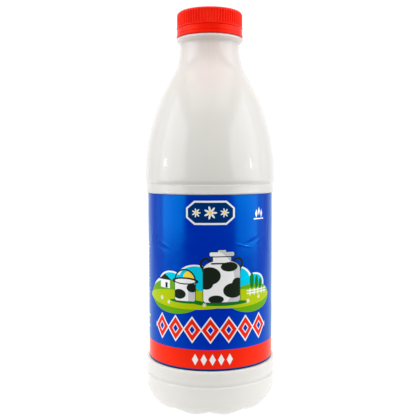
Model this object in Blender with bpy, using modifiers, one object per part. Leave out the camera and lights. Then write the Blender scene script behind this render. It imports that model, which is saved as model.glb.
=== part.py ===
"""A tall round plastic milk bottle, shut, with its ribbed screw cap and its wrap-around film label.

Metres, +Z up. The origin is on the ground under the bottle's axis, and -Y is the label's front.
"""

import math

import bpy
import numpy as np

MM = 0.001
ROUND_STEPS = 70  # faces round the bottle and the label, seven to a foot
RIB_COUNT = 72  # grip ribs round the cap
GAP = 0.3 * MM  # clearance between neighbouring pieces

HEIGHT = 245.6 * MM
BODY_R = 41.0 * MM

# The neck runs into the body in two arcs that touch: a hollow one under the neck, a full one on the shoulder
NECK_R = 18.5 * MM
NECK_FILLET_R = 34.3 * MM
SHOULDER_R = 121.6 * MM
SHOULDER_FOOT_Z = 143.9 * MM
FILLET_FACES = 7
SHOULDER_FACES = 11

# Finish under the cap, and the carrying ring below it
FINISH_R = 18.9 * MM
RING_R = 20.8 * MM
RING_EDGE_H = 1.9 * MM
RING_TAPER_H = 1.7 * MM
RING_EDGE_ROUND = 0.3 * MM

# Film label in its shallow panel
LABEL_R = 39.5 * MM
LABEL_THICK = 0.4 * MM
LABEL_BOTTOM_Z = 30.3 * MM
LABEL_TOP_Z = 134.2 * MM
PANEL_EDGE_ROUND = 0.5 * MM
BAND_R = 40.4 * MM  # body between the label and the upper groove

# Grooves pressed into the body above the label and above the feet
UPPER_GROOVE_Z = 140.0 * MM
UPPER_GROOVE_HALF = 1.8 * MM
UPPER_GROOVE_DEPTH = 0.7 * MM
LOWER_GROOVE_Z = 21.0 * MM
LOWER_GROOVE_HALF = 1.8 * MM
LOWER_GROOVE_DEPTH = 0.7 * MM
GROOVE_FACES = 4

# Base: an elliptic corner down to the flat standing ring, then a low dome under the bottle
BASE_CORNER_H = 15.3 * MM
STANDING_R = 24.75 * MM
STANDING_WIDTH = 2.4 * MM
CORNER_FACES = 9
DOME_H = 6.5 * MM
DOME_FACES = 5

# Feet: radial hollows part the standing ring into round feet, with a narrow notch along each hollow's bottom
FOOT_COUNT = 10
FOOT_TURN = math.radians(-1.4)
FOOT_CROWN = 3.4 * MM
NOTCH_DEPTH = 2.2 * MM
NOTCH_SHARPNESS = 30
HOLLOW_FULL_R = 21.3 * MM  # inside this radius a hollow has its whole depth, and it ends at the wall
HOLLOW_HUB_R = 6.0 * MM
HOLLOW_HUB_FADE = 14.0 * MM
PAD_SINK = 0.2 * MM  # how far a foot is worn flat on the ground

# Screw cap with its tamper band
CAP_R = 20.4 * MM
CAP_EDGE_R = 1.9 * MM
CAP_TOP_THICK = 1.7 * MM
CAP_BORE_R = FINISH_R + GAP
CAP_BOTTOM_Z = 230.0 * MM
RIB_DEPTH = 0.55 * MM
RIB_TOP_Z = 243.2 * MM
BAND_TOP_Z = 235.8 * MM
TAMPER_BAND_R = 20.5 * MM
LEDGE_H = 0.2 * MM
LIP_R = 20.65 * MM
LIP_TOP_Z = 231.5 * MM
EDGE_FACES = 3

WHITE_PLASTIC = (0.86, 0.86, 0.84)
RED_PLASTIC = (0.83, 0.02, 0.01)
BLUE_FILM = (0.01, 0.07, 0.50)


def arc(centre, radii, start, end, faces):
    """Points along an elliptic arc in the (radius, height) plane, angles in degrees."""
    turns = np.radians(np.linspace(start, end, faces + 1))
    return [(centre[0] + radii[0] * math.cos(t), centre[1] + radii[1] * math.sin(t)) for t in turns]


def groove(middle_z, half, depth, upper_r, lower_r):
    """A rounded dip in a wall whose radius passes from upper_r to lower_r across it, top to bottom."""
    points = []
    for step in range(GROOVE_FACES + 1):
        along = 2 * step / GROOVE_FACES - 1
        wall = upper_r + (lower_r - upper_r) * (along + 1) / 2
        dip = depth * (0.5 + 0.5 * math.cos(math.pi * along))
        points.append((wall - dip, middle_z - half * along))
    return points


def finish_and_ring():
    """The neck end inside the cap, and the carrying ring that shows under it."""
    ring_top = CAP_BOTTOM_Z - GAP
    ring_bottom = ring_top - RING_EDGE_H
    return [
        (0.0, HEIGHT - CAP_TOP_THICK - GAP),
        (FINISH_R, HEIGHT - CAP_TOP_THICK - GAP),
        (FINISH_R, ring_top),
        (RING_R - RING_EDGE_ROUND, ring_top),
        (RING_R, ring_top - RING_EDGE_ROUND),
        (RING_R, ring_bottom + RING_EDGE_ROUND),
        (RING_R - RING_EDGE_ROUND, ring_bottom),
        (NECK_R, ring_bottom - RING_TAPER_H),
    ]


def neck_and_shoulder():
    """Two touching arcs: their centres lie one sum of radii apart, which sets the neck's height."""
    reach = NECK_FILLET_R + SHOULDER_R
    across = NECK_R + NECK_FILLET_R - (BODY_R - SHOULDER_R)
    rise = math.sqrt(reach**2 - across**2)
    slant = math.degrees(math.atan2(rise, across))
    neck_centre = (NECK_R + NECK_FILLET_R, SHOULDER_FOOT_Z + rise)
    shoulder_centre = (BODY_R - SHOULDER_R, SHOULDER_FOOT_Z)
    fillet = arc(neck_centre, (NECK_FILLET_R, NECK_FILLET_R), 180.0, 180.0 + slant, FILLET_FACES)
    shoulder = arc(shoulder_centre, (SHOULDER_R, SHOULDER_R), slant, 0.0, SHOULDER_FACES)
    return fillet + shoulder[1:]


def label_panel():
    """The band above the label, and the panel that sinks the label into the body."""
    panel_r = LABEL_R - LABEL_THICK - GAP
    top = LABEL_TOP_Z + GAP
    bottom = LABEL_BOTTOM_Z - GAP
    return [
        (BAND_R, top + PANEL_EDGE_ROUND),
        (BAND_R - PANEL_EDGE_ROUND, top),
        (panel_r, top),
        (panel_r, bottom),
        (BODY_R - PANEL_EDGE_ROUND, bottom),
        (BODY_R, bottom - PANEL_EDGE_ROUND),
    ]


def base():
    """The elliptic corner, the standing ring and the dome, before the feet are parted."""
    outer_r = STANDING_R + STANDING_WIDTH / 2
    inner_r = STANDING_R - STANDING_WIDTH / 2
    corner = arc((outer_r, BASE_CORNER_H), (BODY_R - outer_r, BASE_CORNER_H), 0.0, -90.0, CORNER_FACES)
    turns = np.linspace(0.0, math.pi / 2, DOME_FACES + 1)[:-1]
    dome = [(inner_r * math.cos(t), DOME_H * math.sin(t) ** 2) for t in turns]
    return corner + dome + [(0.0, DOME_H)]


def bottle_outline():
    upper = groove(UPPER_GROOVE_Z, UPPER_GROOVE_HALF, UPPER_GROOVE_DEPTH, BODY_R, BAND_R)
    lower = groove(LOWER_GROOVE_Z, LOWER_GROOVE_HALF, LOWER_GROOVE_DEPTH, BODY_R, BODY_R)
    return finish_and_ring() + neck_and_shoulder() + upper + label_panel() + lower + base()


def cap_outline():
    """The cap's outside from the middle of its top, its lower edge, and its bore."""
    edge_centre = (CAP_R - CAP_EDGE_R, HEIGHT - CAP_EDGE_R)
    ceiling = HEIGHT - CAP_TOP_THICK
    return [
        (0.0, HEIGHT),
        *arc(edge_centre, (CAP_EDGE_R, CAP_EDGE_R), 90.0, 0.0, EDGE_FACES),
        (CAP_R, RIB_TOP_Z),
        (CAP_R, BAND_TOP_Z + LEDGE_H),
        (TAMPER_BAND_R, BAND_TOP_Z),
        (TAMPER_BAND_R, LIP_TOP_Z),
        (LIP_R, LIP_TOP_Z - LEDGE_H),
        (LIP_R, CAP_BOTTOM_Z),
        (CAP_BORE_R, CAP_BOTTOM_Z),
        (CAP_BORE_R, ceiling),
        (0.0, ceiling),
    ]


def label_outline():
    inner = LABEL_R - LABEL_THICK
    return [(LABEL_R, LABEL_TOP_Z), (LABEL_R, LABEL_BOTTOM_Z), (inner, LABEL_BOTTOM_Z), (inner, LABEL_TOP_Z)]


def material(name, colour, roughness):
    made = bpy.data.materials.new(name)
    made.use_nodes = True
    shader = made.node_tree.nodes["Principled BSDF"]
    shader.inputs["Base Color"].default_value = (*colour, 1.0)
    shader.inputs["Roughness"].default_value = roughness
    return made


def turned(name, outline, steps, closed, collection, finish):
    """An outline of (radius, height) points, running down the outer side, turned once round Z from the front."""
    count = len(outline)
    edges = [(i, i + 1) for i in range(count - 1)]
    if closed:
        edges.append((count - 1, 0))
    mesh = bpy.data.meshes.new(name)
    mesh.from_pydata([(0.0, -r, z) for r, z in outline], edges, [])
    mesh.materials.append(finish)
    piece = bpy.data.objects.new(name, mesh)
    collection.objects.link(piece)
    screw = piece.modifiers.new("turn", "SCREW")
    screw.axis = "Z"
    screw.angle = 2 * math.pi
    screw.steps = steps
    screw.render_steps = steps
    screw.use_merge_vertices = True
    screw.merge_threshold = 0.00001
    screw.use_smooth_shade = True
    return piece


def reshape(piece, form):
    """Makes the turned surface a plain mesh, and moves its points by a rule on their places."""
    graph = bpy.context.evaluated_depsgraph_get()
    mesh = bpy.data.meshes.new_from_object(piece.evaluated_get(graph))
    points = np.empty(len(mesh.vertices) * 3)
    mesh.vertices.foreach_get("co", points)
    moved = form(points.reshape(-1, 3))
    mesh.vertices.foreach_set("co", moved.ravel())
    mesh.update()
    piece.modifiers.clear()
    piece.data = mesh
    mesh.set_sharp_from_angle(angle=math.radians(40))


def feet(points):
    """Lifts the base between the feet, deepest along a narrow notch, and flattens what would sink below ground."""
    x, y, z = points.T
    radius = np.hypot(x, y)
    near = np.abs(np.cos(FOOT_COUNT / 2 * np.arctan2(x, -y)))
    outer = np.clip((BODY_R - radius) / (BODY_R - HOLLOW_FULL_R), 0.0, 1.0)
    inner = np.clip((radius - HOLLOW_HUB_R) / HOLLOW_HUB_FADE, 0.0, 1.0)
    depth = NOTCH_DEPTH * near**NOTCH_SHARPNESS + FOOT_CROWN * near**2
    lift = depth * outer**2 * (3.0 - 2.0 * outer) * inner
    lifted = np.where(z < BASE_CORNER_H, np.maximum(z + lift - PAD_SINK, 0.0), z)
    return np.column_stack([x, y, lifted])


def ribs(points):
    """Draws every second column of the cap's skirt inwards, between the ribs' top and the band."""
    x, y, z = points.T
    radius = np.hypot(x, y)
    column = np.round(np.arctan2(y, x) / (math.pi / RIB_COUNT))
    skirt = (radius > CAP_R - 0.5 * RIB_DEPTH) & (z <= RIB_TOP_Z + LEDGE_H) & (z > BAND_TOP_Z + 0.5 * LEDGE_H)
    sunk = np.where(skirt & (column % 2 == 1), 1.0 - RIB_DEPTH / CAP_R, 1.0)
    return np.column_stack([x * sunk, y * sunk, z])


def make_bottle(collection):
    white = material("white_plastic", WHITE_PLASTIC, 0.28)
    bottle = turned("bottle", bottle_outline(), ROUND_STEPS, False, collection, white)
    reshape(bottle, feet)
    bottle.rotation_euler.z = FOOT_TURN


def make_cap(collection):
    red = material("red_plastic", RED_PLASTIC, 0.35)
    cap = turned("cap", cap_outline(), 2 * RIB_COUNT, False, collection, red)
    reshape(cap, ribs)


def make_label(collection):
    blue = material("printed_film", BLUE_FILM, 0.25)
    label = turned("label", label_outline(), ROUND_STEPS, True, collection, blue)
    label.rotation_euler.z = FOOT_TURN


def main():
    for old in list(bpy.data.objects):
        bpy.data.objects.remove(old)
    collection = bpy.data.collections.new("milk_bottle")
    bpy.context.scene.collection.children.link(collection)
    make_bottle(collection)
    make_cap(collection)
    make_label(collection)


main()
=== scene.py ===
import math

import bpy
import numpy as np
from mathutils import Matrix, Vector


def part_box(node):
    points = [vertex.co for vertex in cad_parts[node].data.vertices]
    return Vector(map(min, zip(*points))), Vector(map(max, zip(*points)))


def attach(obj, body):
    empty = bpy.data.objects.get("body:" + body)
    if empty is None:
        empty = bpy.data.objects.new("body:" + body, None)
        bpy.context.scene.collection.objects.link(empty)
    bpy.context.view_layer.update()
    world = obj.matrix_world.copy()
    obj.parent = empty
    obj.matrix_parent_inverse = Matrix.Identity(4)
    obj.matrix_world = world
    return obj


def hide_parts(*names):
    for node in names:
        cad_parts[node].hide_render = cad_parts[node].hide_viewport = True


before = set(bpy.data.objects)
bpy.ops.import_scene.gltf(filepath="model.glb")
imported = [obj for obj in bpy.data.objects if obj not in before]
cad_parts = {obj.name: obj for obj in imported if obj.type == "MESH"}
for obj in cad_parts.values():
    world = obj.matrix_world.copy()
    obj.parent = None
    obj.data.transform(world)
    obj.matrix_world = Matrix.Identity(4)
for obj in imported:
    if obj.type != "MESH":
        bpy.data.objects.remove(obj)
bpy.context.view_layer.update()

mm = 0.001
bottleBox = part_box("bottle")
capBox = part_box("cap")
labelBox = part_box("label")


# shared helpers: grids to meshes, profiles, node shorthand

def paint(red, green, blue):  # screen colour 0..255 to the linear value a shader takes
    level = np.array([red, green, blue]) / 255
    linear = np.where(level <= 0.04045, level / 12.92, ((level + 0.055) / 1.055) ** 2.4)
    return (*linear.tolist(), 1.0)


def arcRun(centre, radii, start, end, count):
    # radius and height of an ellipse's points: centre + radii * (cos, sin), angles in degrees
    turn = np.radians(np.linspace(start, end, count))
    return np.column_stack([centre[0] + radii[0] * np.cos(turn), centre[1] + radii[1] * np.sin(turn)])


def lineRun(start, end, count):
    # points shared out evenly from start to end
    return np.linspace(start, end, count)


def grooveRun(middle, upperHalf, lowerHalf, depth, upperRadius, lowerRadius, count):
    # a raised-cosine dip: wall radius minus depth * (1 + cos(pi t)) / 2, t from -1 at the top to 1 below
    t = np.linspace(-1, 1, count)
    wall = upperRadius + (lowerRadius - upperRadius) * (t + 1) / 2
    height = middle - np.where(t < 0, upperHalf, lowerHalf) * t
    return np.column_stack([wall - depth * (0.5 + 0.5 * np.cos(np.pi * t)), height])


def aroundZ(profile, angles):
    # profile (radius, height) carried round Z: x = r sin a, y = -r cos a, so a = 0 is the front
    radius, height = profile[:, :1], profile[:, 1:]
    flat = np.ones_like(angles)[None, :]
    return np.stack([radius * np.sin(angles), -radius * np.cos(angles), height * flat], axis=2)


def skin(name, grid, topPole=None, bottomPole=None, sheetMap=None):
    # grid (rows, columns, 3) closed round its columns; a pole is one point that closes an end with a fan
    rows, columns = grid.shape[:2]
    points = grid.reshape(-1, 3)
    here = np.arange(rows * columns).reshape(rows, columns)
    beside = np.roll(here, -1, axis=1)
    faces = np.stack([here[:-1], here[1:], beside[1:], beside[:-1]], axis=2).reshape(-1, 4).tolist()
    if topPole is not None:
        faces += np.stack([np.full(columns, len(points)), here[0], beside[0]], axis=1).tolist()
        points = np.vstack([points, topPole])
    if bottomPole is not None:
        faces += np.stack([np.full(columns, len(points)), beside[-1], here[-1]], axis=1).tolist()
        points = np.vstack([points, bottomPole])
    mesh = bpy.data.meshes.new(name)
    mesh.from_pydata(points.tolist(), [], faces)
    if sheetMap is not None:  # (rows, columns + 1, 2): the last column repeats the first, one turn on
        corner = [sheetMap[:-1, :-1], sheetMap[1:, :-1], sheetMap[1:, 1:], sheetMap[:-1, 1:]]
        flatMap = np.stack(corner, axis=2).reshape(-1, 2)
        layer = mesh.uv_layers.new(name="printPlace")
        layer.uv.foreach_set("vector", flatMap.astype(np.float32).ravel())
    mesh.shade_smooth()
    piece = bpy.data.objects.new(name, mesh)
    bpy.context.scene.collection.objects.link(piece)
    return piece


def newFinish(name):
    material = bpy.data.materials.new(name)
    material.use_nodes = True
    tree = material.node_tree
    return material, tree, tree.nodes["Principled BSDF"]


def feed(tree, socket, value):
    # a link where the value comes from a node, else a fixed value
    if isinstance(value, bpy.types.NodeSocket):
        tree.links.new(value, socket)
    elif value is not None:
        socket.default_value = value


def num(tree, operation, first, second=None, third=None):
    node = tree.nodes.new("ShaderNodeMath")
    node.operation = operation
    for socket, value in zip(node.inputs, (first, second, third)):
        feed(tree, socket, value)
    return node.outputs[0]


def vec(tree, operation, first, second=None):
    node = tree.nodes.new("ShaderNodeVectorMath")
    node.operation = operation
    feed(tree, node.inputs[0], first)
    feed(tree, node.inputs[1], second)
    single = operation in ("LENGTH", "DISTANCE", "DOT_PRODUCT")
    return node.outputs["Value" if single else "Vector"]


def blendOver(tree, under, colour, mask):
    node = tree.nodes.new("ShaderNodeMix")
    node.data_type = "RGBA"
    feed(tree, node.inputs["Factor"], mask)
    feed(tree, node.inputs["A"], under)
    feed(tree, node.inputs["B"], colour)
    return node.outputs["Result"]


def rangeOf(tree, value, low, high, toLow=0.0, toHigh=1.0, smooth=False):
    node = tree.nodes.new("ShaderNodeMapRange")
    node.interpolation_type = "SMOOTHSTEP" if smooth else "LINEAR"
    parts = {"Value": value, "From Min": low, "From Max": high, "To Min": toLow, "To Max": toHigh}
    for key, part in parts.items():
        feed(tree, node.inputs[key], part)
    return node.outputs["Result"]


def grain(tree, place, scale, detail):
    node = tree.nodes.new("ShaderNodeTexNoise")
    feed(tree, node.inputs["Vector"], place)
    node.inputs["Scale"].default_value = scale
    node.inputs["Detail"].default_value = detail
    return node.outputs["Fac"]


def bumpOf(tree, height, strength, distance, under=None):
    # distance in m
    node = tree.nodes.new("ShaderNodeBump")
    node.inputs["Strength"].default_value = strength
    node.inputs["Distance"].default_value = distance
    feed(tree, node.inputs["Height"], height)
    feed(tree, node.inputs["Normal"], under)
    return node.outputs["Normal"]


def objectPlace(tree):
    return tree.nodes.new("ShaderNodeTexCoord").outputs["Object"]


# white blown bottle, lengths in mm and turns in degrees unless noted

bottleShape = {
    "neckRadius": 18.5, "filletRadius": 34.3, "shoulderRadius": 121.6, "shoulderFoot": 143.9,
    "bandRadius": 40.4, "finishRadius": 18.9,
    "ringRadius": 20.8, "ringTop": 229.7, "ringEdge": 1.9, "ringTaper": 1.7, "ringRound": 0.9,
    "upperGroove": 139.85, "lowerGroove": 21.0,
    "grooveUpper": 2.2, "grooveLower": 1.0, "grooveDepth": 0.62,
    "faintLine": 26.0, "faintHalf": 0.7, "faintDepth": 0.07,
    "panelDepth": 0.7, "panelGap": 0.03, "upperLip": 0.12, "lowerLip": 0.6,
    "beadHalf": 0.4, "beadHeight": 0.2,
    "cornerHeight": 15.3, "standingRadius": 24.75, "standingWidth": 2.4, "domeHeight": 6.5,
    "footCount": 10, "footTurn": -1.4, "notchDepth": 2.4, "notchSharpness": 32, "footCrown": 3.4,
    "footFullRadius": 21.3, "footHub": 6.0, "footHubFade": 14.0, "padSink": 0.2,
    "seamTurn": -0.6, "seamWidth": 0.16, "seamHeight": 0.04,
    "seamNeckHeight": 0.07, "seamNeckFrom": 205, "seamNeckOver": 12, "seamLeastRadius": 17,
    "swayWide": 0.03, "swayFine": 0.025, "swaySunk": 0.055, "swayFoot": (24, 44), "swayNeck": (185, 215),
    "columns": 240,
    # painted light: heights and half width of the cap's red glow, painted as a pink tint into the neck's
    # colour
    "paintedCapGlowHeights": (0.182, 0.206), "paintedCapGlowHalf": 0.011,  # m, where the red of the cap shows in the neck
}


def bottleProfile(s, bodyRadius, labelSpan, labelRadius):
    # finish, carrying ring, two touching arcs for neck and shoulder, grooves, label panel, corner, dome;
    # the small numbers below are roundings of a few tenths of a millimetre
    ringLow = s["ringTop"] - s["ringEdge"]
    edge, r = s["ringRound"], s["ringRadius"]
    finishTop = bottleBox[1].z / mm
    runs = [
        lineRun((4.0, finishTop), (s["finishRadius"], finishTop), 4),
        lineRun((s["finishRadius"], finishTop - 0.3), (s["finishRadius"], s["ringTop"] + 0.2), 4),
        lineRun((s["finishRadius"] + 0.1, s["ringTop"]), (r - edge, s["ringTop"]), 4),
        arcRun((r - edge, s["ringTop"] - edge), (edge, edge), 80, 0, 7),
        arcRun((r - edge, ringLow + edge), (edge, edge), 0, -60, 7),
        lineRun((r - 0.75, ringLow - 0.15), (s["neckRadius"] + 0.25, ringLow - s["ringTaper"] + 0.15), 7),
    ]
    reach = s["filletRadius"] + s["shoulderRadius"]
    across = s["neckRadius"] + s["filletRadius"] - bodyRadius + s["shoulderRadius"]
    rise = math.sqrt(reach**2 - across**2)
    slant = math.degrees(math.atan2(rise, across))
    neckAt = (s["neckRadius"] + s["filletRadius"], s["shoulderFoot"] + rise)
    shoulderAt = (bodyRadius - s["shoulderRadius"], s["shoulderFoot"])
    runs.append(arcRun(neckAt, (s["filletRadius"],) * 2, 180, 180 + slant, 26))
    runs.append(arcRun(shoulderAt, (s["shoulderRadius"],) * 2, slant, 0, 68)[1:])
    groove = (s["grooveUpper"], s["grooveLower"], s["grooveDepth"])
    runs.append(grooveRun(s["upperGroove"], *groove, bodyRadius, s["bandRadius"], 25))
    # panel: a rounded lip above and below, and the wall behind the label between them
    wall = labelRadius - s["panelDepth"]
    top, low = labelSpan[1] + s["panelGap"], labelSpan[0] - s["panelGap"]
    upper, lower = s["upperLip"], s["lowerLip"]
    bead = (s["beadHalf"], s["beadHalf"], -s["beadHeight"])
    runs.append(grooveRun(top + upper + s["beadHalf"] + 0.03, *bead, s["bandRadius"], s["bandRadius"], 11))
    runs.append(arcRun((s["bandRadius"] - upper, top + upper), (upper, upper), 0, -90, 7))
    runs.append(lineRun((wall, top), (wall, low), 3))
    runs.append(arcRun((bodyRadius - lower, low - lower), (lower, lower), 90, 0, 8))
    faint = (s["faintHalf"], s["faintHalf"], s["faintDepth"])
    runs.append(grooveRun(s["faintLine"], *faint, bodyRadius, bodyRadius, 9))
    runs.append(grooveRun(s["lowerGroove"], *groove, bodyRadius, bodyRadius, 25))
    outer = s["standingRadius"] + s["standingWidth"] / 2
    inner = s["standingRadius"] - s["standingWidth"] / 2
    corner = (bodyRadius - outer, s["cornerHeight"])
    runs.append(arcRun((outer, s["cornerHeight"]), corner, -1, -90, 44))
    dome = np.linspace(0, np.pi / 2, 27)[:-1]
    runs.append(np.column_stack([inner * np.cos(dome), s["domeHeight"] * np.sin(dome) ** 2]))
    return np.vstack(runs)


def bottleAngles(s):
    # even columns, with more beside the two mould seams and the notches between the feet
    turn = 360 * np.arange(s["columns"]) / s["columns"]
    seams = np.add.outer([s["seamTurn"], s["seamTurn"] + 180], [-0.45, -0.22, 0.0, 0.22, 0.45]).ravel()
    notches = s["footTurn"] + 360 / s["footCount"] * np.arange(s["footCount"])
    near = np.add.outer(notches, [-2.2, -0.7, 0.0, 0.7, 2.2]).ravel()
    spread = np.sort(np.concatenate([turn, seams, near]) % 360)
    kept = spread[np.diff(spread, prepend=spread[-1] - 360) > 0.12]
    return np.radians(kept)


def bottleSurface(s, bodyRadius, profile, angles):
    # turned profile; lift = (notch * near^sharpness + crown * near^2) * fade, near = |cos(feet * a / 2)|
    grid = aroundZ(profile, angles)
    radius, height = profile[:, :1], profile[:, 1:]
    near = np.abs(np.cos(s["footCount"] / 2 * (angles - math.radians(s["footTurn"]))))[None, :]
    outer = np.clip((bodyRadius - radius) / (bodyRadius - s["footFullRadius"]), 0, 1)
    inner = np.clip((radius - s["footHub"]) / s["footHubFade"], 0, 1)
    fade = outer**2 * (3 - 2 * outer) * inner
    lift = (s["notchDepth"] * near ** s["notchSharpness"] + s["footCrown"] * near**2) * fade
    low = height < s["cornerHeight"]
    grid[:, :, 2] = np.where(low, np.maximum(grid[:, :, 2] + lift - s["padSink"], 0), grid[:, :, 2])
    # mould seams: a thin bell along two lines, taller on the neck
    away = (angles - math.radians(s["seamTurn"]) + np.pi / 2) % np.pi - np.pi / 2
    across = away[None, :] * radius
    neckShare = np.clip((height - s["seamNeckFrom"]) / s["seamNeckOver"], 0, 1)
    ridge = s["seamHeight"] + (s["seamNeckHeight"] - s["seamHeight"]) * neckShare
    belowRing = height < s["ringTop"] - s["ringEdge"]
    shows = (radius > s["seamLeastRadius"]) & belowRing & (height > s["cornerHeight"])
    swell = np.where(shows, ridge * np.exp(-((across / s["seamWidth"]) ** 2)), 0)
    # blown walls are never quite true: radius + wide * sin(3 a + z / 19) + fine * sin(5 a - z / 11) - sunk,
    # which fades in above the foot and out towards the neck
    wide = s["swayWide"] * np.sin(3 * angles + height / 19)
    sway = wide + s["swayFine"] * np.sin(5 * angles - height / 11)
    foot, neck = s["swayFoot"], s["swayNeck"]
    body = np.clip((height - foot[0]) / (foot[1] - foot[0]), 0, 1)
    body = body * np.clip((neck[1] - height) / (neck[1] - neck[0]), 0, 1)
    push = 1 + (swell + (sway - s["swaySunk"]) * body) / np.maximum(radius, 1)
    grid[:, :, :2] *= push[:, :, None]
    return grid


def whitePlastic():
    material, tree, shader = newFinish("milkyWhitePlastic")
    place = objectPlace(tree)
    cloud = grain(tree, place, 14, 1)
    shader.inputs["IOR"].default_value = 1.5
    # thin milky walls with milk behind them: light spreads several millimetres under the skin
    shader.inputs["Subsurface Weight"].default_value = 0.7
    shader.inputs["Subsurface Radius"].default_value = (1.0, 1.0, 1.0)
    shader.inputs["Subsurface Scale"].default_value = 0.009
    tone = blendOver(tree, paint(211, 209, 203), paint(213, 211, 206), cloud)
    # painted light: the red cap's glow through the neck is painted into the base colour as a pink tint
    # between two heights, strongest near x = 0, the front and back middle
    spot = tree.nodes.new("ShaderNodeSeparateXYZ")
    feed(tree, spot.inputs[0], place)
    nearCap = rangeOf(tree, spot.outputs[2], *bottleShape["paintedCapGlowHeights"], smooth=True)
    middle = num(tree, "MULTIPLY", spot.outputs[0], 1 / bottleShape["paintedCapGlowHalf"])
    inFront = num(tree, "EXPONENT", num(tree, "MULTIPLY", num(tree, "MULTIPLY", middle, middle), -1))
    share = rangeOf(tree, inFront, 0, 1, 0.35, 1.0)
    tone = blendOver(tree, tone, paint(217, 206, 201), num(tree, "MULTIPLY", nearCap, share))
    feed(tree, shader.inputs["Base Color"], tone)
    patchy = rangeOf(tree, grain(tree, place, 60, 2), 0.2, 0.8, 0.13, 0.155)
    feed(tree, shader.inputs["Roughness"], patchy)
    slow = bumpOf(tree, grain(tree, place, 45, 2), 0.08, 0.0006)
    feed(tree, shader.inputs["Normal"], bumpOf(tree, grain(tree, place, 900, 2), 0.05, 0.00005, slow))
    return material


def makeBottle():
    s = bottleShape
    bodyRadius = bottleBox[1].y / mm - s["swaySunk"]
    labelSpan = (labelBox[0].z / mm, labelBox[1].z / mm)
    profile = bottleProfile(s, bodyRadius, labelSpan, labelBox[1].x / mm)
    grid = bottleSurface(s, bodyRadius, profile, bottleAngles(s)) * mm
    top = (0, 0, bottleBox[1].z)
    bottom = (0, 0, (s["domeHeight"] - s["padSink"]) * mm)
    piece = skin("blownBottle", grid, top, bottom)
    piece.data.materials.append(whitePlastic())
    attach(piece, "root")
    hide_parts("bottle")
    print("bottle:", len(piece.data.polygons), "faces")


# red screw cap, lengths in mm

capShape = {
    "radius": 20.35, "edgeRadius": 1.9, "topThick": 1.7, "boreRadius": 19.2,
    "ribCount": 72, "ribDepth": 0.55, "ribTop": 243.9, "ribFade": 0.7, "ribFoot": 236.3,
    "beadRadius": 20.6, "beadHeight": 0.8,
    "slitHeight": 0.3, "slitDepth": 0.45,
    "bridgeCount": 18, "bridgeWidth": 3.0, "bridgeSunk": 0.08,  # width in degrees of turn
    "bandRadius": 20.35, "lipRadius": 20.6, "lipTop": 231.7, "lipRound": 0.35,
    "discInset": 0.25, "discRadius": 15.5, "gateRadius": 1.1, "gateHeight": 0.2,
    "columnsPerRib": 8,
}


def capProfile(s, top, bottom):
    # top disc with its moulding mark, rounded edge, skirt, bead, slit, tamper band with lip, and bore;
    # the small numbers are roundings of a few tenths of a millimetre
    edge, r = s["edgeRadius"], s["radius"]
    disc = top - s["discInset"]
    slitTop = s["ribFoot"] - s["beadHeight"]
    slitLow = slitTop - s["slitHeight"]
    lip, lipTop = s["lipRadius"], s["lipTop"]
    runs = [
        lineRun((0.35, disc + s["gateHeight"]), (s["gateRadius"], disc + s["gateHeight"]), 3),
        lineRun((s["gateRadius"] + 0.15, disc), (s["discRadius"], disc), 6),
        lineRun((s["discRadius"] + 0.4, top), (r - edge - 0.2, top), 4),
        arcRun((r - edge, top - edge), (edge, edge), 90, 0, 10),
        lineRun((r, s["ribTop"] - 0.4), (r, s["ribFoot"] + 0.15), 14),
        arcRun((s["beadRadius"] - 0.4, s["ribFoot"] - 0.4), (0.4, 0.4), 75, -80, 9),
        lineRun((r - s["slitDepth"], slitTop), (r - s["slitDepth"], slitLow), 2),
        lineRun((s["bandRadius"] - 0.06, slitLow), (s["bandRadius"], slitLow - 0.1), 2),
        lineRun((s["bandRadius"], slitLow - 0.4), (s["bandRadius"], lipTop + 0.25), 5),
        lineRun((s["bandRadius"] - 0.12, lipTop + 0.1), (s["bandRadius"] - 0.12, lipTop), 2),
        arcRun((lip - 0.3, lipTop - 0.35), (0.3, 0.3), 80, 0, 5),
        arcRun((lip - s["lipRound"], bottom + s["lipRound"]), (s["lipRound"],) * 2, 0, -90, 6),
        lineRun((s["boreRadius"], bottom), (s["boreRadius"], top - s["topThick"]), 3),
        lineRun((s["boreRadius"] - 0.3, top - s["topThick"]), (1.0, top - s["topThick"]), 3),
    ]
    return np.vstack(runs), slitTop, slitLow


def capSurface(s, profile, angles, slitTop, slitLow):
    # ribs: radius - depth * (1 - ((1 + cos(n a)) / 2)^0.8), faded at both ends; bridges close the slit
    grid = aroundZ(profile, angles)
    radius, height = profile[:, :1], profile[:, 1:]
    wave = 1 - (0.5 + 0.5 * np.cos(s["ribCount"] * angles)[None, :]) ** 0.8
    skirt = (radius > s["radius"] - 1.2) & (height > s["ribFoot"])
    fade = np.clip((s["ribTop"] + s["ribFade"] - height) / (2 * s["ribFade"]), 0, 1)
    sunk = np.where(skirt, s["ribDepth"] * wave * fade * fade * (3 - 2 * fade), 0)
    between = np.abs((angles * s["bridgeCount"] / (2 * np.pi)) % 1 - 0.5)[None, :] * 360 / s["bridgeCount"]
    inSlit = (height <= slitTop + 0.001) & (height >= slitLow - 0.001)
    inWall = (radius < s["radius"] - 0.3) & (radius > s["boreRadius"] + 0.1)
    onBridge = between < s["bridgeWidth"] / 2
    filled = np.where(inSlit & inWall & onBridge, s["slitDepth"] - s["bridgeSunk"], 0)
    push = 1 + (filled - sunk) / np.maximum(radius, 1)
    grid[:, :, :2] *= push[:, :, None]
    return grid


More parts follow.
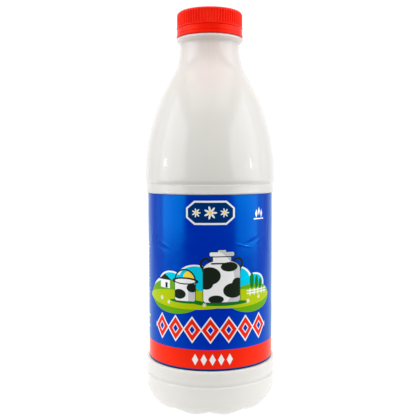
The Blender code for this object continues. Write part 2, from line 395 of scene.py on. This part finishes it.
def redPlastic():
    material, tree, shader = newFinish("mouldedRedPlastic")
    place = objectPlace(tree)
    cloud = rangeOf(tree, grain(tree, place, 70, 3), 0.3, 0.7)
    feed(tree, shader.inputs["Base Color"], blendOver(tree, paint(232, 13, 4), paint(241, 22, 8), cloud))
    patchy = rangeOf(tree, grain(tree, place, 160, 2), 0.3, 0.7, 0.32, 0.42)
    feed(tree, shader.inputs["Roughness"], patchy)
    shader.inputs["IOR"].default_value = 1.45
    shader.inputs["Specular Tint"].default_value = (1.0, 0.22, 0.06, 1.0)
    fine = bumpOf(tree, grain(tree, place, 1400, 2), 0.08, 0.00004)
    feed(tree, shader.inputs["Normal"], fine)
    return material


def makeCap():
    s = capShape
    top, bottom = capBox[1].z / mm, capBox[0].z / mm
    profile, slitTop, slitLow = capProfile(s, top, bottom)
    count = s["ribCount"] * s["columnsPerRib"]
    angles = 2 * np.pi * np.arange(count) / count
    grid = capSurface(s, profile, angles, slitTop, slitLow) * mm
    disc = (top - s["discInset"] + s["gateHeight"]) * mm
    piece = skin("screwCap", grid, (0, 0, disc), (0, 0, (top - s["topThick"]) * mm))
    piece.data.materials.append(redPlastic())
    piece.data.set_sharp_from_angle(angle=math.radians(50))
    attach(piece, "root")
    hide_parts("cap")
    print("cap:", len(piece.data.polygons), "faces")


# printed film label, lengths in mm and slopes in degrees

labelShape = {
    "columns": 300, "rows": 92, "creaseRows": 36, "creaseSpan": (69.5, 79.5), "thick": 0.22,
    "standOff": 0.06, "flapWidth": 9.0, "flapHeight": 0.12, "flapGap": 0.25, "sunk": 0.14,
    "waveHigh": 0.035, "rippleHigh": 0.03, "puckerHigh": 0.05, "puckerAt": 74, "puckerSpread": 13,
    "pearlGain": (9.0, 11.0, 14.5),
    # creases in the film: middle across and up the sheet, length, width, height, slope
    "creases": [
        (-30.5, 74.0, 3.2, 0.4, 0.22, -28), (-39.5, 75.8, 3.2, 0.8, -0.18, 35),
        (-34.5, 72.4, 5.0, 1.2, -0.12, -15), (20.5, 73.6, 3.8, 0.4, 0.22, -14),
        (27.0, 75.6, 4.0, 1.1, -0.13, 20), (35.0, 77.0, 3.6, 0.5, 0.16, 30),
        (-45.0, 77.0, 4.0, 0.6, 0.20, 62), (39.5, 72.0, 4.5, 1.0, -0.12, -50),
        (31.0, 58.0, 5.0, 1.3, 0.07, -40), (-41.5, 54.0, 4.5, 1.3, -0.07, 60),
        (43.0, 80.0, 5.0, 1.4, -0.08, 75), (-52.0, 66.0, 7.0, 1.6, 0.09, 80),
        (70.0, 71.0, 8.0, 1.5, 0.12, 12), (84.0, 69.0, 6.0, 1.2, -0.1, -20),
        (-76.0, 73.0, 8.0, 1.4, 0.11, -10), (-96.0, 70.0, 7.0, 1.6, -0.1, 18),
        (108.0, 33.0, 7.0, 1.5, 0.09, 40),
    ],
}


def labelRows(s, tall):
    # heights up the sheet from its top to its foot, even but closer together where the creases are
    even = np.linspace(0, tall, s["rows"])
    closer = np.linspace(*s["creaseSpan"], s["creaseRows"])
    return np.unique(np.concatenate([even, closer]).round(4))[::-1]


def labelSurface(s, radius, foot, sheetUp, angles):
    # a sleeve a little inside the label's radius, plus slow waves, creases (height * bell along * bell
    # across) and a flap that rises evenly to its edge at the back
    across = (angles * radius)[None, :]
    sheetUp = sheetUp[:, None]
    wave = s["waveHigh"] * np.sin(across / 7.3 + sheetUp / 31) * np.sin(sheetUp / 13)
    swell = wave + s["rippleHigh"] * np.sin(sheetUp / 5.1 + across / 23)
    middle = np.exp(-(((sheetUp - s["puckerAt"]) / s["puckerSpread"]) ** 2))
    swell = swell - s["puckerHigh"] * middle * np.sin(across / 4.7) ** 2
    for centre, height, length, width, rise, slope in s["creases"]:
        turn = math.radians(slope)
        dx, dy = across - centre, sheetUp - height
        along = dx * math.cos(turn) + dy * math.sin(turn)
        aside = dy * math.cos(turn) - dx * math.sin(turn)
        swell = swell + rise * np.exp(-((along / length) ** 2) - (aside / width) ** 2)
    flap = np.clip((across - (np.pi * radius - s["flapWidth"])) / s["flapWidth"], 0, 1)
    reach = radius - s["standOff"] - s["flapHeight"] + swell - s["sunk"] + s["flapHeight"] * flap
    height = (foot + sheetUp) * np.ones_like(across)
    return np.stack([reach * np.sin(angles), -reach * np.cos(angles), height], axis=2)


# print: each shape is a distance in mm from its edge, below zero inside, on the unrolled sheet,
# with u to the right of the front and v up from the sheet's foot

def disc(tree, place, centre, radius):  # distance from the centre less the radius
    return num(tree, "SUBTRACT", vec(tree, "DISTANCE", place, (*centre, 0)), radius)


def oval(tree, place, centre, radii):
    # (length of the offset divided by the radii, less 1) * the shorter radius
    scaled = vec(tree, "DIVIDE", vec(tree, "SUBTRACT", place, (*centre, 0)), (*radii, 1))
    return num(tree, "MULTIPLY", num(tree, "SUBTRACT", vec(tree, "LENGTH", scaled), 1), min(radii))


def plate(tree, place, centre, half, corner=0.5):
    # rounded rectangle: how far outside the inner rectangle, less the corner's radius
    away = vec(tree, "ABSOLUTE", vec(tree, "SUBTRACT", place, (*centre, 0)))
    past = vec(tree, "SUBTRACT", away, (half[0] - corner, half[1] - corner, 0))
    outside = vec(tree, "MAXIMUM", past, (0, 0, 0))
    return num(tree, "SUBTRACT", vec(tree, "LENGTH", outside), corner)


def lozenge(tree, place, centre, half):
    # (|x| / half width + |y| / half height - 1), scaled to a true distance from the slanting edge
    away = vec(tree, "ABSOLUTE", vec(tree, "SUBTRACT", place, (*centre, 0)))
    share = vec(tree, "DOT_PRODUCT", away, (1 / half[0], 1 / half[1], 0))
    return num(tree, "MULTIPLY", num(tree, "SUBTRACT", share, 1), half[0] * half[1] / math.hypot(*half))


def hoop(tree, place, centre, radius, halfWidth):  # a ring's line, wide to either side of its circle
    return num(tree, "SUBTRACT", num(tree, "ABSOLUTE", disc(tree, place, centre, radius)), halfWidth)


def flower(tree, place, centre, radius, petals):
    # radius that swings with the angle: r - R (0.68 + 0.32 cos(n a))
    offset = tree.nodes.new("ShaderNodeSeparateXYZ")
    feed(tree, offset.inputs[0], vec(tree, "SUBTRACT", place, (*centre, 0)))
    angle = num(tree, "ARCTAN2", offset.outputs[1], offset.outputs[0])
    swing = num(tree, "COSINE", num(tree, "MULTIPLY", angle, petals))
    reach = num(tree, "MULTIPLY_ADD", swing, 0.32 * radius, 0.68 * radius)
    return num(tree, "SUBTRACT", vec(tree, "DISTANCE", place, (*centre, 0)), reach)


def either(tree, *shapes):  # inside any of the shapes
    total = shapes[0]
    for shape in shapes[1:]:
        total = num(tree, "MINIMUM", total, shape)
    return total


def both(tree, first, second):  # inside both shapes
    return num(tree, "MAXIMUM", first, second)


def without(tree, first, second):  # inside the first and outside the second
    return num(tree, "MAXIMUM", first, num(tree, "MULTIPLY", second, -1))


def printed(tree, under, shape, colour, grow=0.0):
    # ink where the shape's distance is under grow, fading over a tenth of a millimetre to either side
    mask = rangeOf(tree, shape, grow - 0.1, grow + 0.1, 1.0, 0.0, True)
    return blendOver(tree, under, colour, mask)


printInk = {
    "blue": paint(0, 7, 172), "navy": paint(0, 18, 104), "sky": paint(0, 196, 226),
    "red": paint(232, 28, 10), "bandRed": paint(240, 30, 10), "butter": paint(250, 214, 60),
    "white": paint(240, 240, 240), "grey": paint(196, 198, 202), "black": paint(20, 20, 22),
    "meadow": paint(172, 192, 8), "field": paint(96, 160, 12), "leaf": paint(8, 112, 28),
}
printPlan = {
    "skyLumps": [((-2, 46), (37, 12)), ((-25, 51), (9, 6.5)), ((-9, 55), (10, 7)),
                 ((13, 54), (12, 7.5)), ((29, 50), (8, 6))],
    "skyRim": 0.9,
    "sun": ((-13, 55.5), 3.4),
    "farHills": [((-24, 43), (20, 10)), ((27, 42), (17, 8.5))],
    "meadows": [((-14, 42), (32, 5.6)), ((14, 42.5), (30, 5.4))],
    "shades": [((7, 40.2), (17, 1.5)), ((-15, 41.0), (11, 1.2))],
    "daisies": [(-33, 41.5, 1.5), (-27, 39.6, 1.3), (24, 40.4, 1.4), (33, 42.0, 1.3), (-3.5, 39.4, 1.3)],
    "poplars": [(27, 52.5, 1.7, 4.6), (31, 51.3, 1.5, 3.8), (34.6, 50, 1.4, 3.2)],
    "barn": (-30, 50.5),
    "canAt": 7.0, "pailAt": -15.5, "groundV": 41.0,
    "lozengePitch": 11.0, "lozengeRow": 24.4, "lozengeHalf": (5.1, 6.8), "lozengeCount": 7,
    "bandTop": 12.6, "bandFoot": 1.4,
    "sheetTop": labelBox[1].z / mm - labelBox[0].z / mm, "topWhiteLine": 0.25,
    "bandMarks": 5, "bandMarkPitch": 5.2, "bandMarkHalf": (1.9, 3.4),
    "plaqueAt": (0.2, 93.2), "plaqueHalf": (14.6, 7.0), "sprigAt": (33, 92.6),
}


def countryScene(tree, place, sheet):
    # lumpy sky, sun, hills, trees and barn, then meadow, fence, pail and can, from back to front
    ink, plan = printInk, printPlan
    sky = either(tree, *[oval(tree, place, *lump) for lump in plan["skyLumps"]])
    sky = both(tree, sky, plate(tree, place, (0, 65), (60, 24), 0.2))
    sheet = printed(tree, sheet, sky, ink["white"], plan["skyRim"])
    sheet = printed(tree, sheet, sky, ink["sky"])
    sheet = printed(tree, sheet, disc(tree, place, *plan["sun"]), ink["butter"])
    for centre, radii in plan["farHills"]:
        sheet = printed(tree, sheet, oval(tree, place, centre, radii), ink["field"])
    for u, v, halfWide, halfTall in plan["poplars"]:
        sheet = printed(tree, sheet, oval(tree, place, (u, v), (halfWide, halfTall)), ink["leaf"])
    sheet = barn(tree, place, sheet, *plan["barn"])
    meadow = either(tree, *[oval(tree, place, *lump) for lump in plan["meadows"]])
    sheet = printed(tree, sheet, meadow, ink["meadow"])
    shade = either(tree, *[oval(tree, place, *lump) for lump in plan["shades"]])
    sheet = printed(tree, sheet, shade, ink["leaf"])
    sheet = fence(tree, place, sheet)
    sheet = pail(tree, place, sheet, plan["pailAt"], plan["groundV"])
    sheet = milkCan(tree, place, sheet, plan["canAt"], plan["groundV"])
    for u, v, size in plan["daisies"]:
        sheet = printed(tree, sheet, flower(tree, place, (u, v), size, 6), ink["white"])
        sheet = printed(tree, sheet, disc(tree, place, (u, v), size * 0.32), ink["butter"])
    return sheet


def barn(tree, place, sheet, u, v):
    # white wall, dark gable roof and door
    ink = printInk
    sheet = printed(tree, sheet, plate(tree, place, (u, v), (4.0, 2.6), 0.2), ink["white"])
    gable = lozenge(tree, place, (u, v + 2.2), (5.6, 3.6))
    roof = both(tree, gable, plate(tree, place, (u, v + 4.4), (6, 2.2), 0.2))
    sheet = printed(tree, sheet, roof, ink["black"])
    door = plate(tree, place, (u + 1.2, v - 0.9), (0.9, 1.6), 0.2)
    return printed(tree, sheet, door, ink["black"])


def repeated(tree, place, pitch):
    # the same stretch of sheet again and again across: u wraps round from pitch / 2 to -pitch / 2
    node = tree.nodes.new("ShaderNodeVectorMath")
    node.operation = "WRAP"
    feed(tree, node.inputs[0], place)
    node.inputs[1].default_value = (pitch / 2, 999, 1)
    node.inputs[2].default_value = (-pitch / 2, -999, -1)
    return node.outputs[0]


def fence(tree, place, sheet):
    # posts repeat at one pitch across a short stretch, with two rails
    pitch, middle = 3.4, 32
    cell = repeated(tree, vec(tree, "ADD", place, (-pitch / 2, 0, 0)), pitch)
    posts = plate(tree, cell, (0, 45.6), (0.38, 2.1), 0.3)
    rails = either(tree, plate(tree, place, (middle, 46.4), (9, 0.3), 0.2),
                   plate(tree, place, (middle, 44.9), (9, 0.3), 0.2))
    stretch = plate(tree, place, (middle, 45.6), (9, 3), 0.2)
    shape = either(tree, both(tree, posts, stretch), rails)
    return printed(tree, sheet, shape, printInk["white"])


def milkCan(tree, place, sheet, u, ground):
    # tall can with a rounded shoulder, a lid and two ring handles, patched black on white
    ink = printInk
    handles = either(tree, hoop(tree, place, (u - 9.6, ground + 22.4), 3.0, 0.75),
                     hoop(tree, place, (u + 9.6, ground + 22.4), 3.0, 0.75))
    body = either(
        tree,
        plate(tree, place, (u, ground + 9.5), (11.2, 9.7), 1.6),
        oval(tree, place, (u, ground + 19), (11.2, 5.6)),
        plate(tree, place, (u, ground + 25), (5.4, 3.4), 0.6),
        plate(tree, place, (u, ground + 28.1), (7.4, 1.2), 0.9),
        plate(tree, place, (u, ground + 29.6), (2.4, 0.9), 0.6),
    )
    sheet = printed(tree, sheet, handles, ink["black"])
    sheet = printed(tree, sheet, body, ink["black"], 0.35)
    sheet = printed(tree, sheet, body, ink["white"], -0.05)
    shade = without(tree, body, oval(tree, place, (u - 5, ground + 13), (12.5, 17)))
    sheet = printed(tree, sheet, shade, ink["grey"])
    blots = [(-7.4, 15.4, (6.6, 5.2)), (-9.5, 10.8, (4.2, 3.4)), (6.8, 6.6, (6.2, 4.4)),
             (9.5, 10.6, (3.4, 3.4)), (4.4, 20.6, (5.2, 2.8)), (-3.6, 1.6, (4.6, 2.4))]
    patches = either(tree, *[oval(tree, place, (u + du, ground + dv), half) for du, dv, half in blots])
    sheet = printed(tree, sheet, both(tree, patches, body), ink["black"])
    bands = either(tree, plate(tree, place, (u, ground + 22.6), (6.6, 0.45), 0.3),
                   plate(tree, place, (u, ground + 26.6), (5.4, 0.3), 0.2))
    return printed(tree, sheet, bands, ink["black"])


def pail(tree, place, sheet, u, ground):
    # open pail: a body under an oval mouth, its bail standing up, filled with milk
    ink = printInk
    ring = hoop(tree, place, (u, ground + 12.2), 6.6, 0.45)
    bail = both(tree, ring, plate(tree, place, (u, ground + 16.5), (8, 4.3), 0.2))
    sheet = printed(tree, sheet, bail, ink["black"])
    mouth = oval(tree, place, (u, ground + 12), (7.2, 1.9))
    body = either(tree, plate(tree, place, (u, ground + 6.2), (6.6, 6.0), 1.2), mouth)
    sheet = printed(tree, sheet, body, ink["black"], 0.35)
    sheet = printed(tree, sheet, body, ink["grey"], -0.05)
    lit = both(tree, body, plate(tree, place, (u - 2.4, ground + 6), (4.6, 8), 1.0))
    sheet = printed(tree, sheet, lit, ink["white"])
    patch = either(tree, oval(tree, place, (u - 3.6, ground + 4.2), (4.2, 2.9)),
                   oval(tree, place, (u + 4.6, ground + 8.2), (3.4, 2.6)))
    sheet = printed(tree, sheet, both(tree, patch, body), ink["black"])
    sheet = printed(tree, sheet, mouth, ink["black"], 0.1)
    milk = oval(tree, place, (u, ground + 12), (6.5, 1.3))
    return printed(tree, sheet, milk, ink["white"])


def plaque(tree, place, sheet):
    # a plain plate with clipped corners, so eight sides, a white rim and three flowers
    ink = printInk
    u, v = printPlan["plaqueAt"]
    wide, tall = printPlan["plaqueHalf"]
    rim = both(tree, plate(tree, place, (u, v), (wide, tall), 0.6),
               lozenge(tree, place, (u, v), (wide + 3.4, tall + 8)))
    field = both(tree, plate(tree, place, (u, v), (wide - 1.1, tall - 1.1), 0.6),
                 lozenge(tree, place, (u, v), (wide + 2.0, tall + 6.2)))
    sheet = printed(tree, sheet, rim, ink["white"])
    sheet = printed(tree, sheet, field, ink["navy"])
    for offset, size in ((-8.4, 2.7), (0.0, 3.9), (8.4, 2.7)):
        sheet = printed(tree, sheet, flower(tree, place, (u + offset, v), size, 7), ink["white"])
        sheet = printed(tree, sheet, disc(tree, place, (u + offset, v), size * 0.27), ink["butter"])
    return sheet


def sideSprig(tree, place, sheet):
    # three slim leaves over a short bar
    u, v = printPlan["sprigAt"]
    tips = ((-2.3, -0.6), (0, 0.7), (2.3, -0.6))
    leaves = [lozenge(tree, place, (u + du, v + dv), (1.0, 2.6)) for du, dv in tips]
    foot = plate(tree, place, (u, v - 3.7), (4.6, 0.35), 0.3)
    return printed(tree, sheet, either(tree, *leaves, foot), printInk["white"])


def lozengeRow(tree, place, sheet):
    # one lozenge ring repeated every pitch, kept to the middle stretch, with a white edge outside and in
    ink, plan = printInk, printPlan
    pitch, v = plan["lozengePitch"], plan["lozengeRow"]
    wide, tall = plan["lozengeHalf"]
    cell = repeated(tree, place, pitch)
    stretch = plate(tree, place, (0, v), (pitch * plan["lozengeCount"] / 2, 12), 0.2)
    outer = both(tree, lozenge(tree, cell, (0, v), (wide, tall)), stretch)
    hole = both(tree, lozenge(tree, cell, (0, v), (wide * 0.34, tall * 0.34)), stretch)
    sheet = printed(tree, sheet, outer, ink["white"], 0.75)
    sheet = printed(tree, sheet, outer, ink["red"])
    sheet = printed(tree, sheet, hole, ink["white"], 0.5)
    return printed(tree, sheet, hole, ink["blue"])


def footBand(tree, place, sheet):
    # dark line at the foot, red band with a few marks over it, and a thin white line along the top edge
    ink, plan = printInk, printPlan
    middle = (plan["bandTop"] + plan["bandFoot"]) / 2
    band = plate(tree, place, (0, middle), (999, (plan["bandTop"] - plan["bandFoot"]) / 2), 0.3)
    line = plate(tree, place, (0, 0), (999, plan["bandFoot"]), 0.3)
    sheet = printed(tree, sheet, line, ink["navy"])
    sheet = printed(tree, sheet, band, ink["bandRed"])
    # a thin white line along the sheet's top edge
    topLine = plate(tree, place, (0, plan["sheetTop"]), (999, plan["topWhiteLine"]), 0.2)
    sheet = printed(tree, sheet, topLine, ink["white"])
    count, pitch = plan["bandMarks"], plan["bandMarkPitch"]
    for step in range(count):
        u = (step - (count - 1) / 2) * pitch + 1.2
        mark = lozenge(tree, place, (u, middle - 0.2), plan["bandMarkHalf"])
        sheet = printed(tree, sheet, mark, ink["white"])
    return sheet


def barRows(tree, place, centre, half, pitch, colour, sheet):
    # rows of bars of uneven length that fill a panel: each row's number gives its bar a random end
    parts = tree.nodes.new("ShaderNodeSeparateXYZ")
    corner = (centre[0] - half[0], centre[1] - half[1], 0)
    feed(tree, parts.inputs[0], vec(tree, "SUBTRACT", place, corner))
    row = num(tree, "DIVIDE", parts.outputs[1], pitch)
    index = num(tree, "FLOOR", row)
    within = num(tree, "ABSOLUTE", num(tree, "SUBTRACT", num(tree, "FRACT", row), 0.5))
    chance = tree.nodes.new("ShaderNodeTexWhiteNoise")
    chance.noise_dimensions = "1D"
    feed(tree, chance.inputs["W"], index)
    reach = rangeOf(tree, chance.outputs["Value"], 0, 1, 2 * half[0] * 0.55, 2 * half[0])
    long = num(tree, "SUBTRACT", parts.outputs[0], reach)
    block = plate(tree, place, centre, half, 0.2)
    thin = num(tree, "MULTIPLY", num(tree, "SUBTRACT", within, 0.17), pitch)
    return printed(tree, sheet, both(tree, both(tree, thin, long), block), colour)


def backPanels(tree, place, sheet):
    # on each side of the back a white panel with rows of bars and a framed block, and at the left
    # two narrow blocks of bars
    ink = printInk
    for u in (-88, 88):
        sheet = printed(tree, sheet, plate(tree, place, (u, 58), (25, 38), 2.5), ink["white"])
        sheet = barRows(tree, place, (u, 74), (21, 17), 2.6, ink["blue"], sheet)
        sheet = printed(tree, sheet, plate(tree, place, (u, 37.5), (21, 13), 0.6), ink["blue"])
        sheet = printed(tree, sheet, plate(tree, place, (u, 37.5), (20.5, 12.5), 0.4), ink["white"])
        sheet = barRows(tree, place, (u, 37.5), (19, 11), 3.6, ink["blue"], sheet)
    sheet = barRows(tree, place, (-56, 55), (4.5, 19), 2.2, ink["white"], sheet)
    return barRows(tree, place, (-55, 24), (5.0, 5.5), 3.4, ink["white"], sheet)


def pearlTint(tree, sheet):
    # pearly film gleams in its ink's hue, and blue ink gleams azure: red = r^0.35,
    # green = max(g^0.35, b^0.2 * (1 - r)), blue = b^0.5, each times its share of pearlGain
    parts = tree.nodes.new("ShaderNodeSeparateColor")
    feed(tree, parts.inputs[0], sheet)
    red, green, blue = parts.outputs
    notRed = num(tree, "SUBTRACT", 1, red)
    azure = num(tree, "MULTIPLY", num(tree, "POWER", blue, 0.2), notRed)
    tint = tree.nodes.new("ShaderNodeCombineColor")
    feed(tree, tint.inputs[0], num(tree, "POWER", red, 0.35))
    feed(tree, tint.inputs[1], num(tree, "MAXIMUM", num(tree, "POWER", green, 0.35), azure))
    feed(tree, tint.inputs[2], num(tree, "POWER", blue, 0.5))
    return vec(tree, "MULTIPLY", tint.outputs[0], labelShape["pearlGain"])


def printedFilm(radius, tall):
    # the UV map runs 0 to 1 round and up the sleeve: u = (U - 0.5) * girth, v = V * height
    material, tree, shader = newFinish("printedFilm")
    sheetMap = tree.nodes.new("ShaderNodeUVMap")
    sheetMap.uv_map = "printPlace"
    girth = 2 * math.pi * radius
    centred = vec(tree, "SUBTRACT", sheetMap.outputs[0], (0.5, 0, 0))
    place = vec(tree, "MULTIPLY", centred, (girth, tall, 0))
    sheet = backPanels(tree, place, printInk["blue"])
    sheet = countryScene(tree, place, sheet)
    sheet = plaque(tree, place, sheet)
    sheet = sideSprig(tree, place, sheet)
    sheet = lozengeRow(tree, place, sheet)
    sheet = footBand(tree, place, sheet)
    feed(tree, shader.inputs["Base Color"], sheet)
    solid = objectPlace(tree)
    patchy = rangeOf(tree, grain(tree, solid, 90, 3), 0.3, 0.7, 0.16, 0.24)
    feed(tree, shader.inputs["Roughness"], patchy)
    shader.inputs["IOR"].default_value = 1.5
    shader.inputs["Specular IOR Level"].default_value = 0.1
    shader.inputs["Metallic"].default_value = 0.2
    feed(tree, shader.inputs["Specular Tint"], pearlTint(tree, sheet))
    slow = bumpOf(tree, grain(tree, solid, 120, 2), 0.15, 0.0004)
    feed(tree, shader.inputs["Normal"], bumpOf(tree, grain(tree, solid, 700, 2), 0.05, 0.00005, slow))
    return material


def makeLabel():
    s = labelShape
    radius = labelBox[1].x / mm
    span = (labelBox[0].z / mm, labelBox[1].z / mm)
    # one more column close to the back gives the flap its steep edge
    turn = np.linspace(-np.pi, np.pi, s["columns"] + 1)
    turn = np.concatenate([turn[:-1], [np.pi - math.radians(s["flapGap"])]])
    tall = span[1] - span[0]
    sheetUp = labelRows(s, tall)
    grid = labelSurface(s, radius, span[0], sheetUp, turn) * mm
    along = (np.append(turn, np.pi) + np.pi) / (2 * np.pi)
    sheetMap = np.stack(np.meshgrid(along, sheetUp / tall), axis=2)
    piece = skin("filmLabel", grid, sheetMap=sheetMap)
    wall = piece.modifiers.new("filmThickness", "SOLIDIFY")
    wall.thickness = s["thick"] * mm
    wall.offset = -1
    piece.data.materials.append(printedFilm(radius, tall))
    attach(piece, "root")
    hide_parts("label")
    print("label:", len(piece.data.polygons), "faces")


# floor, lights and camera, lengths in m and turns in degrees, lens in mm

studio = {
    "floorRadius": 0.75, "bendRadius": 0.45, "wallTop": 2.2, "columns": 96,
    "frontFloorGlow": 0.16, "frontWallGlow": 0.62, "frontRise": 0.30, "frontHue": (1.0, 0.975, 0.90),
    "wallGlow": 0.58, "wallShare": (-0.7, 0.3), "backFrom": (0, -0.12), "backSoft": 0.12,
    "fanGlow": 0.39, "fanFrom": (0, -0.41), "fanSpread": (0.72, 0.93), "fanEdge": (-0.11, -0.045),
    "cameraAway": 0.4087, "cameraHeight": 0.1496, "cameraPitch": 3.78, "cameraRoll": 0.15, "lens": 55.05,
    "sideAway": 0.70, "sideHeight": 0.376, "sideTall": 0.72,
    "leftAlong": (-0.74, 0.044), "rightAlong": (-0.96, 0.044),
    "sideGlow": 2.1, "sideHue": (0.98, 1.0, 1.08),
    "rearAlong": (0.044, 0.30), "rearGlow": 0.5,
    "topPlace": (0, -0.25, 1.1), "topSize": (1.5, 1.4), "topGlow": 1.08,
    "glintAlong": (-0.09, -0.20), "glintHeight": 0.222, "glintSize": (0.022, 0.04),
    "glintGlow": 32.0, "glintAim": (0, 0, 0.16),
    "world": 0.4,
}


def makeFloor():
    # a round floor that bends up into a wall: flat to floorRadius, a quarter circle, then straight up
    s = studio
    bend = np.linspace(0, np.pi / 2, 17)
    flat = np.array([0.05, 0.2, 0.45, 0.65])
    curve = s["floorRadius"] + s["bendRadius"] * np.sin(bend)
    reach = np.concatenate([flat, curve, curve[-1:]])
    rise = np.concatenate([0 * flat, s["bendRadius"] * (1 - np.cos(bend)), [s["wallTop"]]])
    angles = 2 * np.pi * np.arange(s["columns"]) / s["columns"]
    floor = skin("paleCove", aroundZ(np.column_stack([reach, rise]), angles), (0, 0, 0))
    floor.data.materials.append(lightTable())
    print("floor:", len(floor.data.polygons), "faces")


def backwardShare(tree, place, start, soft):
    # how far a floor point lies straight behind a start on the Y axis: dy / sqrt(dx^2 + dy^2 + soft^2)
    away = vec(tree, "MULTIPLY", vec(tree, "SUBTRACT", place, (*start, 0)), (1, 1, 0))
    parts = tree.nodes.new("ShaderNodeSeparateXYZ")
    feed(tree, parts.inputs[0], away)
    square = num(tree, "ADD", vec(tree, "DOT_PRODUCT", away, away), soft**2)
    return num(tree, "DIVIDE", parts.outputs[1], num(tree, "SQRT", square))


def lightTable():
    # pale sheet lit from behind: brightest in a fan behind the bottle, dimmer and warmer in front of it
    s = studio
    material, tree, shader = newFinish("paleLightTable")
    place = objectPlace(tree)
    cloud = grain(tree, place, 12, 3)
    feed(tree, shader.inputs["Base Color"], blendOver(tree, paint(78, 78, 78), paint(82, 82, 82), cloud))
    shader.inputs["Roughness"].default_value = 0.75
    spot = tree.nodes.new("ShaderNodeSeparateXYZ")
    feed(tree, spot.inputs[0], place)
    glows = (s["frontFloorGlow"], s["frontWallGlow"])
    front = rangeOf(tree, spot.outputs[2], 0.0, s["frontRise"], *glows, True)
    toBack = backwardShare(tree, place, s["backFrom"], s["backSoft"])
    wall = rangeOf(tree, toBack, *s["wallShare"], front, s["wallGlow"], True)
    outward = backwardShare(tree, place, s["fanFrom"], s["backSoft"])
    fan = rangeOf(tree, outward, *s["fanSpread"], smooth=True)
    behind = rangeOf(tree, spot.outputs[1], *s["fanEdge"], smooth=True)
    fanShare = num(tree, "MULTIPLY", fan, behind)
    glow = num(tree, "MULTIPLY_ADD", fanShare, s["fanGlow"], wall)
    feed(tree, shader.inputs["Emission Strength"], glow)
    toFront = rangeOf(tree, toBack, *s["wallShare"], 1.0, 0.0, True)
    hue = blendOver(tree, (1, 1, 1, 1), (*s["frontHue"], 1), toFront)
    feed(tree, shader.inputs["Emission Color"], hue)
    return material


def softBox(name, place, aim, size, glow, hue=(1, 1, 1)):
    # a lamp panel of even brightness: power = glow * pi * area
    light = bpy.data.lights.new(name, "AREA")
    light.shape = "RECTANGLE"
    light.size, light.size_y = size
    light.energy = glow * math.pi * size[0] * size[1]
    light.color = hue
    lamp = bpy.data.objects.new(name, light)
    bpy.context.scene.collection.objects.link(lamp)
    lamp.location = place
    lamp.rotation_euler = (Vector(aim) - Vector(place)).to_track_quat("-Z", "Y").to_euler()


def makeLights():
    # long panels at both sides, dimmer ones behind them, a panel above and two small lamps for the glints
    s = studio
    panels = (
        (-1, "leftPanel", "leftAlong", "sideGlow"),
        (1, "rightPanel", "rightAlong", "sideGlow"),
        (-1, "leftRear", "rearAlong", "rearGlow"),
        (1, "rightRear", "rearAlong", "rearGlow"),
    )
    for side, name, along, glow in panels:
        front, back = s[along]
        middle = (front + back) / 2
        place = (side * s["sideAway"], middle, s["sideHeight"])
        aim = (0, middle, s["sideHeight"])
        softBox(name, place, aim, (back - front, s["sideTall"]), s[glow], s["sideHue"])
    for side, name, y in ((-1, "leftLamp", s["glintAlong"][0]), (1, "rightLamp", s["glintAlong"][1])):
        place = (side * (s["sideAway"] - 0.01), y, s["glintHeight"])
        softBox(name, place, s["glintAim"], s["glintSize"], s["glintGlow"])
    x, y, z = s["topPlace"]
    softBox("topPanel", (x, y, z), (x, y, 0), s["topSize"], s["topGlow"])
    world = bpy.data.worlds.new("studioAir")
    bpy.context.scene.world = world
    world.use_nodes = True
    sky = world.node_tree.nodes["Background"]
    sky.inputs["Color"].default_value = (1, 1, 1, 1)
    sky.inputs["Strength"].default_value = s["world"]
    print("lights: a top panel, four side panels and two small lamps")


def makeCamera():
    s = studio
    camera = bpy.data.cameras.new("studioCamera")
    camera.lens = s["lens"]
    camera.sensor_width = 36
    seat = bpy.data.objects.new("studioCamera", camera)
    bpy.context.scene.collection.objects.link(seat)
    seat.location = (0, -s["cameraAway"], s["cameraHeight"])
    tilt = math.radians(90 - s["cameraPitch"])
    seat.rotation_euler = (tilt, math.radians(s["cameraRoll"]), 0)
    bpy.context.scene.camera = seat
    print("camera: lens", s["lens"], "mm")


bpy.context.scene.view_settings.view_transform = "Standard"
makeCamera()
makeBottle()
makeCap()
makeLabel()
makeFloor()
makeLights()
print("pieces, floor, lights and camera are in place")
